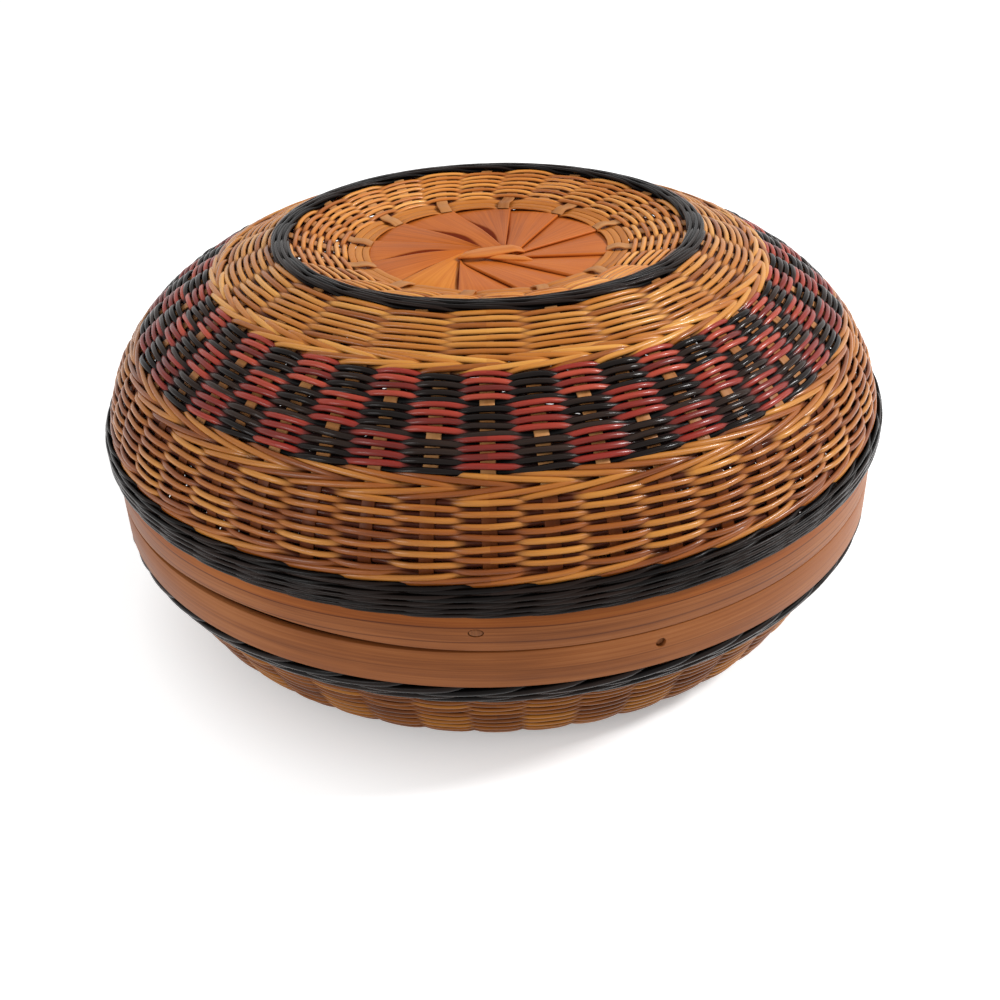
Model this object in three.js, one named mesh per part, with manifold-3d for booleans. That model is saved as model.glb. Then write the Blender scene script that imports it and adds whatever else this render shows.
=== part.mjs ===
// Lidded bamboo basket: a domed lid lifts off a low round base.
// Each half starts as twelve bamboo splints that overlap like a fan round a small eye. Outside that
// disc every splint splits into two stakes. Further out a stake is added beside each, and rattan
// courses are woven round all forty-eight. Bamboo hoops, pinned with pegs, clamp them at the seam.
// Millimetres, +Z up. The origin is on the floor, under the middle of the foot.

import * as THREE from 'three';
import { mergeVertices } from 'three/addons/utils/BufferGeometryUtils.js';
import Module from 'manifold-3d';

const wasm = await Module();
wasm.setup();

const degree = Math.PI / 180;

// Splints and the stakes that they split into
const splintCount = 12;
const stakesPerSplint = 4;
const stakeCount = splintCount * stakesPerSplint;
const splintThickness = 0.9;
const layerStep = 1.3;
const eyeRadius = 8;
const discRadius = 57;
const stakeStartRadius = 61;
const tuckAtEye = 4;
const tuckAtEdge = 0.5;
const stakeWidth = 5.6;
const firstSplintAzimuth = 122.75 * degree;

// Stakes stand at places one pitch apart, counted from a splint's exposed edge. Its own two stakes
// leave the disc one place further round and lean over to theirs up to the first bend of the line.
// An added stake starts inside the stake at the next place, crosses over to its own, and goes on
// from there. It crosses over under the lid's upper weave, as shares of that course's length, and
// over the base's foot braid, as lengths from its middle in half braids.
const firstPlaces = [-1, 1];
const addedPlaces = [-2, 0];
const addedStartShare = 0.7;
const lidCrossing = { from: 0.46, to: 0.975 };
const baseCrossing = { from: -3.5, to: 1.25 };

// The tongue of the splint that was laid last, which covers the eye. Each row gives, in eye radii,
// the distance along the splint and both edges, and then the share of its full rise.
const lastSplint = 10;
const tongueRows = [
  [3.2, -0.9, 0.1, 0.06],
  [2.2, -0.95, -0.2, 0.7],
  [1.4, -1, -0.3, 1],
  [0.8, -1.1, 0.8, 1],
  [0, -1.15, 1.15, 1],
  [-0.8, -0.9, 0.9, 1],
  [-1.2, -0.4, 0.4, 1],
];

// Clearances
const fit = 0.3;
const slideFit = 0.6;

// Heights of the seam and of the hoops on both sides of it
const seamHeight = 76;
const hoopHeight = 17;

// Lid: the line that its stakes follow, from the sunk disc over the crest and down the dome.
// A handle is the length of one of the curve's control arms, as a share of its width or height.
const wallRadius = 178.6;
const edgeBraidWidth = 12;
const domeEdgeHeight = seamHeight + hoopHeight + edgeBraidWidth;
const domeRise = 72;
const crestRadius = 95.2;
const crestHeight = domeEdgeHeight + domeRise;
const crestSlope = -19.3 * degree;
const crestHandleShare = 0.6115;
const domeEdgeLean = 98.3 * degree;
const domeEdgeHandleShare = 0.4736;
const recessDepth = 9.2;
const lidDiscHeight = crestHeight - recessDepth;

// Lid: the woven courses. The checker's ends are shares of the dome's length from the crest.
const checkerStart = 0.3012;
const checkerEnd = 0.6586;
const wallCourse = 3.2;
const recessCourse = 2.4;
const waleRise = 1.2;
const waleWidth = 5;
const grooveDepth = 1.5;
const crestBraidHalfWidth = 3.9;
const crestBraidHeight = 3.2;
const crestBraidShoulder = 1.6;
const edgeBraidRise = 6.1;
const edgeBraidShoulder = 1.2;

// Base: the line that its stakes follow, from the floor disc under the foot and up the belly
const footRadius = 131;
const footClearHeight = 8.1;
const floorRise = 3.4;
const floorDiscHeight = footClearHeight + floorRise;
const bellyTopGap = 1;
const bellyTopHeight = seamHeight - hoopHeight - bellyTopGap;
const footLean = 2.1 * degree;
const footHandleShare = 0.71;
const bellyTopLean = -122.4 * degree;
const bellyTopHandleShare = 0.8577;
const baseBraidWidth = 12.4;
const baseBraidRise = 4.4;
const floorCourse = 2.4;
const footBraidWidth = 8;

// Hoops and pegs
const outerHoopThickness = 3.05;
const innerHoopThickness = 3;
const collarRise = 5;
const lidInnerHoopHeight = 13.4;
const stakeTipClearance = 1;
const pegRadius = 1.9;
const pegHeadRise = 0.6;
const pegHeadTaper = 0.6;
const pegCount = 3;
const drillReach = 12;
const lidPegAzimuth = -93 * degree;
const lidPegInset = 3.6;
const basePegAzimuth = -70.5 * degree;
const basePegInset = 6.5;

// Cane ring that lies on the splints where they split
const caneRingInset = 1.5;
const caneRingWidth = 4.4;
const caneRingThickness = 1.2;

// Facets: one flat stands square to every stake
const stakePitch = (2 * Math.PI) / stakeCount;
const splintPitch = (2 * Math.PI) / splintCount;
const flatFactor = Math.cos(stakePitch / 2);
const domeSteps = 4;
const bellySteps = 3;
const caneRingSides = stakeCount / 2;
const pegSides = 8;
const coverOffset = splintThickness / 2 + fit;
const hoopOuterRadius = wallRadius + coverOffset + outerHoopThickness;

const bambooSplint = new THREE.MeshStandardMaterial({ color: 0xc07a42, roughness: 0.45, metalness: 0 });
const bambooHoop = new THREE.MeshStandardMaterial({ color: 0x96644a, roughness: 0.5, metalness: 0 });
const rattan = new THREE.MeshStandardMaterial({ color: 0xb9783c, roughness: 0.4, metalness: 0 });
const blackRattan = new THREE.MeshStandardMaterial({ color: 0x2a2220, roughness: 0.3, metalness: 0 });
const redRattan = new THREE.MeshStandardMaterial({ color: 0x8c3226, roughness: 0.35, metalness: 0 });

// A closed body from sections of as many points each, closed at both ends by a ladder of quads
function loft(sections) {
  const count = sections[0].length;
  const positions = sections.flat().flatMap((point) => [point.x, point.y, point.z]);
  const triangles = [];
  const quad = (a, b, c, d) => triangles.push(a, b, c, a, c, d);
  for (let row = 0; row + 1 < sections.length; row += 1) {
    for (let i = 0; i < count; i += 1) {
      const next = (i + 1) % count;
      quad(row * count + i, row * count + next, (row + 1) * count + next, (row + 1) * count + i);
    }
  }
  const lastRow = (sections.length - 1) * count;
  for (let i = 0; i < count / 2 - 1; i += 1) {
    const far = count - 1 - i;
    quad(i, far, far - 1, i + 1);
    quad(lastRow + i, lastRow + i + 1, lastRow + far - 1, lastRow + far);
  }
  const geometry = new THREE.BufferGeometry();
  geometry.setAttribute('position', new THREE.Float32BufferAttribute(positions, 3));
  geometry.setIndex(triangles);
  return geometry;
}

function toManifold(geometry) {
  const bare = geometry.clone();
  bare.deleteAttribute('normal');
  bare.deleteAttribute('uv');
  const merged = mergeVertices(bare, 1e-4);
  return new wasm.Manifold(new wasm.Mesh({
    numProp: 3,
    vertProperties: new Float32Array(merged.attributes.position.array),
    triVerts: new Uint32Array(merged.index.array),
  }));
}

function toGeometry(manifold) {
  const mesh = manifold.getMesh();
  const geometry = new THREE.BufferGeometry();
  geometry.setAttribute('position', new THREE.BufferAttribute(mesh.vertProperties, 3));
  geometry.setIndex(new THREE.BufferAttribute(mesh.triVerts, 1));
  geometry.computeVertexNormals();
  return geometry;
}

const join = (pieces) => toGeometry(pieces.map(toManifold).reduce((all, piece) => all.add(piece)));
const cut = (body, tools) => toGeometry(
  tools.map(toManifold).reduce((rest, tool) => rest.subtract(tool), toManifold(body)));

// Outlines are lists of (radius, height). A point goes round the axis to its azimuth.
const outline = (radius, height) => new THREE.Vector2(radius, height);

const handleEnd = (point, length, direction) => outline(
  point.x + length * Math.cos(direction), point.y + length * Math.sin(direction));

function around(radius, azimuth, height, sideways = 0) {
  const x = radius * Math.cos(azimuth) - sideways * Math.sin(azimuth);
  const y = radius * Math.sin(azimuth) + sideways * Math.cos(azimuth);
  return new THREE.Vector3(x, y, height);
}

// The unit normal of a line at each of its points, lengthened at bends so that an offset keeps
// its distance to both neighbouring segments
function lineNormals(line) {
  const sides = line.slice(1).map((point, i) => {
    const along = point.clone().sub(line[i]).normalize();
    return new THREE.Vector2(-along.y, along.x);
  });
  return line.map((_, i) => {
    const before = sides[Math.max(i - 1, 0)];
    const after = sides[Math.min(i, sides.length - 1)];
    const middle = before.clone().add(after).normalize();
    return middle.divideScalar(middle.dot(before));
  });
}

function offsetLine(line, distance) {
  const normals = lineNormals(line);
  return line.map((point, i) => point.clone().addScaledVector(normals[i], distance));
}

// How far along a line each of its points lies
function lineMarks(line) {
  return line.reduce((marks, point, i) => {
    if (i > 0) marks.push(marks[i - 1] + point.distanceTo(line[i - 1]));
    return marks;
  }, [0]);
}

// The point that lies off a line, beside the place at the given distance along it
function pointBeside(line, distance, offset) {
  const marks = lineMarks(line);
  const i = marks.findLastIndex((mark, k) => mark <= distance && k + 1 < line.length);
  const beside = offsetLine(line, offset);
  return beside[i].lerp(beside[i + 1], (distance - marks[i]) / (marks[i + 1] - marks[i]));
}

// A ring with the closed outline given, its flats square to the stakes
function ring(profile, sides = stakeCount) {
  const area = profile.reduce((sum, point, i) => {
    const next = profile[(i + 1) % profile.length];
    return sum + point.x * next.y - next.x * point.y;
  }, 0);
  const closed = (area > 0 ? [...profile] : [...profile].reverse());
  closed.push(closed[0].clone());
  const start = firstSplintAzimuth + splintPitch / 2 + Math.PI / 2;
  const geometry = new THREE.LatheGeometry(closed, sides, start, 2 * Math.PI);
  geometry.rotateX(Math.PI / 2);
  return toGeometry(toManifold(geometry));
}

const box = (inner, outer, low, high) => [
  outline(inner, low), outline(outer, low), outline(outer, high), outline(inner, high)];

// A band on the outside of the stakes whose outer face is ribbed, as the weavers bow out over stakes.
// inner is the outline of its inner face, ribs and grooves those of its outer face at a rib and
// between two ribs. There is a rib at every stake, or with half as many at every splint's own.
function ribbedRing(inner, ribs, grooves, ribCount) {
  const corners = [];
  const face = (...points) => corners.push(...points);
  const spokes = (lines, count, shift) => Array.from({ length: count + 1 }, (_, i) => {
    const line = lines[i % lines.length];
    const azimuth = firstSplintAzimuth + splintPitch / 2 + shift + ((i % count) / count) * 2 * Math.PI;
    const points = line.map((point) => around(point.x, azimuth, point.y));
    return { step: shift + (i / count) * 2 * Math.PI, points, top: points[0], bottom: points.at(-1) };
  });
  const insides = spokes([inner], stakeCount, 0);
  const outsides = spokes([grooves, ribs], 2 * ribCount, ribCount < stakeCount ? stakePitch / 2 : 0);
  const skin = (near, far) => {
    for (let k = 0; k + 1 < near.length; k += 1) {
      face(near[k], far[k], far[k + 1]);
      face(near[k], far[k + 1], near[k + 1]);
    }
  };
  for (let i = 0; i + 1 < insides.length; i += 1) skin(insides[i].points, insides[i + 1].points);
  for (let i = 0; i + 1 < outsides.length; i += 1) skin(outsides[i + 1].points, outsides[i].points);
  zipRows(insides, outsides, face);
  return toGeometry(toManifold(new THREE.BufferGeometry().setFromPoints(corners)));
}

// A woven course on the outside of the stakes: a band over one stretch of their line. ribCount 0
// leaves it plain. wales lists the ends, 'start' or 'end', where a heavier row of twined cane
// stands proud.
function course(line, side, from, to, thickness, ribCount = 0, wales = []) {
  const between = lineMarks(line).filter((mark) => mark > from && mark < to);
  const inner = [from, ...between, to].map((mark) => pointBeside(line, mark, side * coverOffset));
  const outer = between.map((mark) => [mark, 0]);
  if (wales.includes('start')) outer.unshift([from, waleRise], [from + waleWidth, 0]);
  else outer.unshift([from, 0]);
  if (wales.includes('end')) outer.push([to - waleWidth, 0], [to, waleRise]);
  else outer.push([to, 0]);
  const face = (depth) => outer.map(([mark, rise]) => pointBeside(
    line, mark, side * (coverOffset + thickness + rise - (rise > 0 ? 0 : depth))));
  if (ribCount === 0) return ring([...inner, ...face(0).reverse()]);
  const lines = [inner, face(0), face(grooveDepth)];
  if (side < 0) lines.forEach((points) => points.reverse());
  return ribbedRing(...lines, ribCount);
}

// Where a splint's exposed clockwise edge lies: a straight line that passes the eye at its radius
const edgeLean = -splintPitch / 2 + Math.asin(eyeRadius / discRadius);
const edgeAzimuth = (radius) => edgeLean - Math.asin(eyeRadius / radius);

// How high the middle of a splint lies over its disc: it slopes down from its exposed edge, so that
// each splint passes under the next one
function splintRise(radius, azimuth) {
  return layerStep * (0.5 - (azimuth - edgeAzimuth(radius)) / splintPitch);
}

// One row of a splint's fan at the given radius: a top and a bottom point at each step of azimuth
// from the exposed edge
function bladeRow(radius, steps, discHeight) {
  return steps.map((step) => {
    const azimuth = edgeAzimuth(radius) + step;
    const height = discHeight + splintRise(radius, azimuth);
    return {
      step,
      top: around(radius, azimuth, height + splintThickness / 2),
      bottom: around(radius, azimuth, height - splintThickness / 2),
    };
  });
}

// Faces between two rows that may differ in their number of points
function zipRows(near, far, addFace) {
  let i = 0;
  let j = 0;
  while (i + 1 < near.length || j + 1 < far.length) {
    const farFirst = i + 1 === near.length
      || (j + 1 < far.length && far[j + 1].step <= near[i + 1].step);
    const next = farFirst ? far[j + 1] : near[i + 1];
    addFace(near[i].top, far[j].top, next.top);
    addFace(near[i].bottom, next.bottom, far[j].bottom);
    if (farFirst) j += 1;
    else i += 1;
  }
}

// The azimuth of a stake at a mark of its line, from the middle of its splint. It leans up to the
// first bend.
function stakeAzimuth(line, place, mark) {
  const lean = Math.max(0, 1 - mark / lineMarks(line)[1]);
  return (place + 0.5 + lean) * stakePitch - splintPitch / 2;
}

// A splint: the fan blade from the eye to the edge of the disc, and the two stakes that it is
// split into there, which follow the stake line to its end
function splintShape(line) {
  const discHeight = line[0].y;
  const innerRadius = eyeRadius + fit;
  const marks = lineMarks(line);
  const stakeSteps = firstPlaces.map((place) => stakeAzimuth(line, place, 0) + splintPitch / 2);
  const halfStakeAngle = stakeWidth / 2 / discRadius;
  const rows = [innerRadius, (innerRadius + discRadius) / 2, discRadius].map((radius) => {
    const share = (radius - innerRadius) / (discRadius - innerRadius);
    const tuck = THREE.MathUtils.lerp(tuckAtEye, tuckAtEdge, share) / radius;
    const stakeEdges = stakeSteps.flatMap((step) => [step - halfStakeAngle, step + halfStakeAngle]);
    const inside = radius === discRadius ? stakeEdges : [splintPitch / 2, splintPitch];
    return bladeRow(radius, [0, ...inside, splintPitch + tuck], discHeight);
  });

  const corners = [];
  const face = (...points) => corners.push(...points);
  const quad = (a, b, c, d) => {
    face(a, b, c);
    face(a, c, d);
  };
  for (let i = 0; i + 1 < rows.length; i += 1) {
    const [near, far] = [rows[i], rows[i + 1]];
    zipRows(near, far, face);
    quad(near[0].bottom, far[0].bottom, far[0].top, near[0].top);
    const [nearEnd, farEnd] = [near.at(-1), far.at(-1)];
    quad(nearEnd.bottom, nearEnd.top, farEnd.top, farEnd.bottom);
  }
  const eyeEnd = rows[0];
  for (let i = 0; i + 1 < eyeEnd.length; i += 1) {
    quad(eyeEnd[i + 1].bottom, eyeEnd[i].bottom, eyeEnd[i].top, eyeEnd[i + 1].top);
  }
  const splitEnd = rows.at(-1);
  for (let i = 0; i + 1 < splitEnd.length; i += 2) {
    quad(splitEnd[i].bottom, splitEnd[i + 1].bottom, splitEnd[i + 1].top, splitEnd[i].top);
  }

  const under = offsetLine(line, -splintThickness / 2);
  const over = offsetLine(line, splintThickness / 2);
  const half = stakeWidth / 2;
  firstPlaces.forEach((place, k) => {
    const [left, right] = [splitEnd[2 * k + 1], splitEnd[2 * k + 2]];
    const sections = [[left.bottom, right.bottom, right.top, left.top]];
    marks.forEach((mark, i) => {
      const azimuth = stakeAzimuth(line, place, mark);
      sections.push([
        around(under[i].x * flatFactor, azimuth, under[i].y, -half),
        around(under[i].x * flatFactor, azimuth, under[i].y, half),
        around(over[i].x * flatFactor, azimuth, over[i].y, half),
        around(over[i].x * flatFactor, azimuth, over[i].y, -half)]);
    });
    for (let i = 0; i + 1 < sections.length; i += 1) {
      const [here, there] = [sections[i], sections[i + 1]];
      here.forEach((corner, n) => {
        const next = (n + 1) % here.length;
        quad(corner, here[next], there[next], there[n]);
      });
    }
    quad(...sections.at(-1));
  });
  return new THREE.BufferGeometry().setFromPoints(corners);
}

// An added stake: it starts slimmer, inside the stake at the next place, and reaches its own place
// at the mark crossing.to
function addedStake(line, place, crossing) {
  const marks = lineMarks(line);
  const within = marks.filter((mark) => mark > crossing.from && mark < crossing.to);
  const beyond = marks.filter((mark) => mark > crossing.to);
  return loft([crossing.from, ...within, crossing.to, ...beyond].map((mark) => {
    const short = Math.max(0, (crossing.to - mark) / (crossing.to - crossing.from));
    const azimuth = stakeAzimuth(line, place + short, mark);
    const size = THREE.MathUtils.lerp(1, addedStartShare, short);
    const half = (size * stakeWidth) / 2;
    const corner = (offset, sideways) => {
      const point = pointBeside(line, Math.min(mark, marks.at(-1)), (offset * size * splintThickness) / 2);
      return around(point.x * flatFactor, azimuth, point.y, sideways);
    };
    return [corner(-1, -half), corner(-1, half), corner(1, half), corner(1, -half)];
  }));
}

// The tongue climbs from its own blade and lies over the ends of all the others
function eyeTongue(discHeight) {
  const fullRise = layerStep / 2 + splintThickness + fit;
  const half = splintThickness / 2;
  return loft(tongueRows.map(([along, left, right, riseShare]) => {
    const corner = (side, lift) => around(along * eyeRadius, edgeLean,
      discHeight + riseShare * fullRise + lift, side * eyeRadius);
    return [corner(left, half), corner(right, half), corner(right, -half), corner(left, -half)];
  }));
}

// A round bamboo peg, driven in from outside, with a low domed head
function pegShape(radius, from, to, height, headRise) {
  const section = (along, share) => Array.from({ length: pegSides }, (_, i) => {
    const turn = ((i + 0.5) / pegSides) * 2 * Math.PI;
    const sideways = radius * share * Math.cos(turn);
    return around(along, 0, height + radius * share * Math.sin(turn), sideways);
  });
  const sections = [section(from, 1), section(to, 1)];
  if (headRise > 0) sections.push(section(to + headRise, pegHeadTaper));
  return loft(sections);
}

const pegAzimuths = (first) => Array.from(
  { length: pegCount }, (_, i) => first + (i * 2 * Math.PI) / pegCount);

function drillForPegs(hoop, firstAzimuth, height) {
  const drills = pegAzimuths(firstAzimuth).map((azimuth) => {
    const drill = pegShape(pegRadius + fit, wallRadius - drillReach, wallRadius + drillReach, height, 0);
    return drill.rotateZ(azimuth);
  });
  return cut(hoop, drills);
}

function named(name, geometry, material) {
  const mesh = new THREE.Mesh(geometry, material);
  mesh.name = name;
  return mesh;
}

// crossing says between which marks of the line the added stakes cross to their places
function addSplints(group, prefix, line, crossing) {
  const pieces = [splintShape(line), ...addedPlaces.map((place) => addedStake(line, place, crossing))];
  const plain = join(pieces);
  const last = join([...pieces, eyeTongue(line[0].y)]);
  for (let i = 0; i < splintCount; i += 1) {
    const name = `${prefix}_splint_${String(i + 1).padStart(2, '0')}`;
    const mesh = named(name, i + 1 === lastSplint ? last : plain, bambooSplint);
    mesh.rotation.z = firstSplintAzimuth + i * splintPitch;
    group.add(mesh);
  }
}

function addPegs(group, prefix, firstAzimuth, height) {
  const innerEnd = wallRadius - coverOffset - innerHoopThickness;
  const peg = pegShape(pegRadius, innerEnd, hoopOuterRadius, height, pegHeadRise);
  pegAzimuths(firstAzimuth).forEach((azimuth, i) => {
    const mesh = named(`${prefix}_peg_${i + 1}`, peg, bambooSplint);
    mesh.rotation.z = azimuth;
    group.add(mesh);
  });
}

function makeLid() {
  const lid = new THREE.Group();
  const crest = outline(crestRadius, crestHeight);
  const edge = outline(wallRadius, domeEdgeHeight);
  const dome = new THREE.CubicBezierCurve(
    crest,
    handleEnd(crest, crestHandleShare * (wallRadius - crestRadius), crestSlope),
    handleEnd(edge, domeEdgeHandleShare * domeRise, domeEdgeLean),
    edge);
  const tip = outline(wallRadius, seamHeight + stakeTipClearance);
  const line = [outline(stakeStartRadius, lidDiscHeight), ...dome.getSpacedPoints(domeSteps), tip];
  const marks = lineMarks(line);
  const [atCrest, atEdge] = [marks[1], marks.at(-2)];
  const atChecker = THREE.MathUtils.lerp(atCrest, atEdge, checkerStart);
  const atLower = THREE.MathUtils.lerp(atCrest, atEdge, checkerEnd);
  addSplints(lid, 'lid', line, {
    from: THREE.MathUtils.lerp(atCrest, atChecker, lidCrossing.from),
    to: THREE.MathUtils.lerp(atCrest, atChecker, lidCrossing.to),
  });

  const crestHalf = crestBraidHalfWidth + fit;

  const ringLow = lidDiscHeight + layerStep / 2 + splintThickness / 2 + fit;
  const ringInner = discRadius - caneRingInset;
  lid.add(named('lid_cane_ring', ring(
    box(ringInner, ringInner + caneRingWidth, ringLow, ringLow + caneRingThickness),
    caneRingSides), rattan));
  lid.add(named('lid_recess_weave', course(line, 1, 0, atCrest - crestHalf, recessCourse), rattan));

  const crestLow = crestHeight + coverOffset + fit;
  const crestHigh = crestLow + crestBraidHeight;
  const crestFlat = crestBraidHalfWidth - crestBraidShoulder;
  lid.add(named('lid_crest_braid', ring([
    outline(crestRadius - crestFlat, crestLow),
    outline(crestRadius + crestFlat, crestLow),
    outline(crestRadius + crestBraidHalfWidth, (crestLow + crestHigh) / 2),
    outline(crestRadius + crestFlat, crestHigh),
    outline(crestRadius - crestFlat, crestHigh),
    outline(crestRadius - crestBraidHalfWidth, (crestLow + crestHigh) / 2)]), blackRattan));

  lid.add(named('lid_upper_weave',
    course(line, 1, atCrest + crestHalf, atChecker, wallCourse, stakeCount / 2, ['end']), rattan));
  lid.add(named('lid_checker_weave',
    course(line, 1, atChecker + fit, atLower - fit, wallCourse, stakeCount), redRattan));
  lid.add(named('lid_lower_weave',
    course(line, 1, atLower, atEdge - fit, wallCourse, stakeCount, ['start']), rattan));

  const braidInner = wallRadius + coverOffset;
  const braidLow = domeEdgeHeight - edgeBraidWidth + fit;
  const braidHigh = domeEdgeHeight - fit;
  const braidOuter = braidInner + edgeBraidRise;
  lid.add(named('lid_edge_braid', ring([
    outline(braidInner, braidLow),
    outline(braidOuter - edgeBraidShoulder, braidLow),
    outline(braidOuter, (braidLow + braidHigh) / 2),
    outline(braidOuter - edgeBraidShoulder, braidHigh),
    outline(braidInner, braidHigh)]), blackRattan));

  const innerHoopOuter = wallRadius - coverOffset;
  const innerHoopLow = seamHeight + collarRise + slideFit;
  const hoopTop = seamHeight + hoopHeight;
  const lidPegHeight = innerHoopLow + lidPegInset;
  const hoop = ring(box(wallRadius + coverOffset, hoopOuterRadius, seamHeight + fit, hoopTop));
  lid.add(named('lid_outer_hoop', drillForPegs(hoop, lidPegAzimuth, lidPegHeight), bambooHoop));
  const innerHoop = ring(box(innerHoopOuter - innerHoopThickness, innerHoopOuter, innerHoopLow,
    innerHoopLow + lidInnerHoopHeight));
  lid.add(named('lid_inner_hoop', drillForPegs(innerHoop, lidPegAzimuth, lidPegHeight), bambooHoop));
  addPegs(lid, 'lid', lidPegAzimuth, lidPegHeight);
  return lid;
}

function makeBase() {
  const base = new THREE.Group();
  const foot = outline(footRadius, footClearHeight);
  const top = outline(wallRadius, bellyTopHeight);
  const belly = new THREE.CubicBezierCurve(
    foot,
    handleEnd(foot, footHandleShare * (wallRadius - footRadius), footLean),
    handleEnd(top, bellyTopHandleShare * (bellyTopHeight - footClearHeight), bellyTopLean),
    top);
  const tip = outline(wallRadius, seamHeight - stakeTipClearance);
  const line = [outline(stakeStartRadius, floorDiscHeight), ...belly.getSpacedPoints(bellySteps), tip];
  const marks = lineMarks(line);
  const atFoot = marks[1];
  const footHalf = footBraidWidth / 2;
  addSplints(base, 'base', line, {
    from: atFoot + baseCrossing.from * footHalf,
    to: atFoot + baseCrossing.to * footHalf,
  });

  const atHoop = marks.at(-2) + seamHeight - hoopHeight - bellyTopHeight - fit;
  const atBraid = atHoop - baseBraidWidth;

  const ringHigh = floorDiscHeight - layerStep / 2 - splintThickness / 2 - fit;
  const ringInner = discRadius - caneRingInset;
  base.add(named('base_cane_ring', ring(
    box(ringInner, ringInner + caneRingWidth, ringHigh - caneRingThickness, ringHigh),
    caneRingSides), rattan));
  base.add(named('base_floor_weave',
    course(line, -1, 0, atFoot - footHalf - fit, floorCourse), rattan));

  const footHigh = footClearHeight - coverOffset;
  const footFlat = footHalf / 2;
  base.add(named('base_foot_braid', ring([
    outline(footRadius - footFlat, 0),
    outline(footRadius + footFlat, 0),
    outline(footRadius + footHalf, footHigh / 2),
    outline(footRadius + footFlat, footHigh),
    outline(footRadius - footFlat, footHigh),
    outline(footRadius - footHalf, footHigh / 2)]), blackRattan));
  base.add(named('base_belly_weave',
    course(line, -1, atFoot + footHalf + fit, atBraid - fit, wallCourse, stakeCount), rattan));
  base.add(named('base_edge_braid',
    course(line, -1, atBraid, atHoop, baseBraidRise), blackRattan));

  const basePegHeight = seamHeight - basePegInset;
  const hoop = ring(box(wallRadius + coverOffset, hoopOuterRadius, seamHeight - hoopHeight, seamHeight));
  base.add(named('base_outer_hoop', drillForPegs(hoop, basePegAzimuth, basePegHeight), bambooHoop));
  const innerHoopOuter = wallRadius - splintThickness / 2 - slideFit;
  const innerHoop = ring(box(innerHoopOuter - innerHoopThickness, innerHoopOuter,
    seamHeight - hoopHeight, seamHeight + collarRise));
  base.add(named('base_inner_hoop', drillForPegs(innerHoop, basePegAzimuth, basePegHeight), bambooHoop));
  addPegs(base, 'base', basePegAzimuth, basePegHeight);
  return base;
}

const basket = new THREE.Group();
basket.add(makeBase(), makeLid());

export default basket;
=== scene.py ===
# Lidded bamboo basket, dressed for its picture.
# Both halves start as twelve bamboo splints that overlap round an eye and split into two stakes
# each. Further out a stake is added beside each. Rattan strands are woven round the stakes, and
# bamboo hoops clamp their ends.
# Shapes are written in millimetres and degrees, and the mesh maker turns them into metres.
# Materials, floor, lamps and camera are in metres.
# A stake line is the line (radius, height) that the stakes follow. A mark is a length along it.

import math
from collections import namedtuple

import bpy
import numpy as np
from mathutils import Matrix, Vector


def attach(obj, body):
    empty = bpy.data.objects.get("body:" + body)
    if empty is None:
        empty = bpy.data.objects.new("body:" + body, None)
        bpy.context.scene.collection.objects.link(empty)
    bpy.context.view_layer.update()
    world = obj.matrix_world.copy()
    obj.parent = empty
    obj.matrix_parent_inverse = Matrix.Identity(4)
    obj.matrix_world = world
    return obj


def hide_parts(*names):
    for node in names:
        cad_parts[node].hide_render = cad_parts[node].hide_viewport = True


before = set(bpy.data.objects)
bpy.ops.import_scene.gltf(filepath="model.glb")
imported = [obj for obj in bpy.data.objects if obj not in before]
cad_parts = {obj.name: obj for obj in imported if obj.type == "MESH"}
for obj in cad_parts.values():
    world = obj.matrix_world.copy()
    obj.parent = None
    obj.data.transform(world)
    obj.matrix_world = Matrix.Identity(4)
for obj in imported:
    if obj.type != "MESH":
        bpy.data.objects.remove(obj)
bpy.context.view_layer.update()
random = np.random.default_rng(11)

MM = 0.001
TURN = math.tau

# Stakes and splints
SPLINTS = 12
STAKES = 48
STAKE_PITCH = TURN / STAKES
SPLINT_PITCH = TURN / SPLINTS
FIRST_SPLINT = math.radians(122.75)
LAST_SPLINT = 10
GOLD_SPLINT = 5
FRONT_STAKE = math.radians(-91)
STAKE_WIDTH = 5.6
STAKE_HALF = 0.45
STAKE_LIFT = 1.1
STAKE_BEVEL = 0.35
BLADE_HALF = 0.45
BLADE_UP = np.array([0, 0, BLADE_HALF])
LAYER_STEP = 1.3
FAN_START = 3
INNER_END_RADIUS = 15
DISC_RADIUS = 57
STAKE_START = 61
LINE_START = 55
TUCK = 0.6

# The places of a splint's stakes, in pitches from its exposed edge. Its own ones start at the mark
# OWN_FROM, and the added ones further out. All lean one place further round at the disc.
OVER_STRIPS = -1
UNDER_STRIPS = 1
ADDED_PLACES = (-2, 0)
OWN_FROM = 0.5

# Blades: the crown, the curl of the exposed edge, its rest on the blade before it, and the painted
# shadow beside the next blade's curled edge
BLADE_CROWN = 0.6
CROWN_GROWTH = 30
CURL_RISE = 0.7
CURL_SHARPNESS = 2.2
CURL_MIDDLE = 26
CURL_REACH = 20
EDGE_REST = 0.35
EDGE_REST_SHARE = 0.25
RIM_FADE = 8
SHADOW_SHARE = 0.24
SHADOW_MIDDLE = 24
SHADOW_CUT = 0.03
SHADOW_BLUR = 0.06
TONGUE_CLEARANCE = 0.5

# Stakes: their rise from the line and fall back to it, their step between the layers of the disc,
# and where one in two crosses over the cane strips
LIFT_FROM = 6
LIFT_RISE = 6
LIFT_FALL = 8
LAYERS_END = STAKE_START + 3
LAYERS_FADE = 6
STRIP_CROSSING = 2.3
CROSSING_RADIUS = 60.5
CROSSING_REACH = 4.2

# Lid line
LID_DISC = 167.8
CREST = (95.2, 177)
CREST_HANDLE = (51, -19.3)
DOME_EDGE = (178.6, 105)
DOME_EDGE_HANDLE = (34.1, 98.3)

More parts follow.
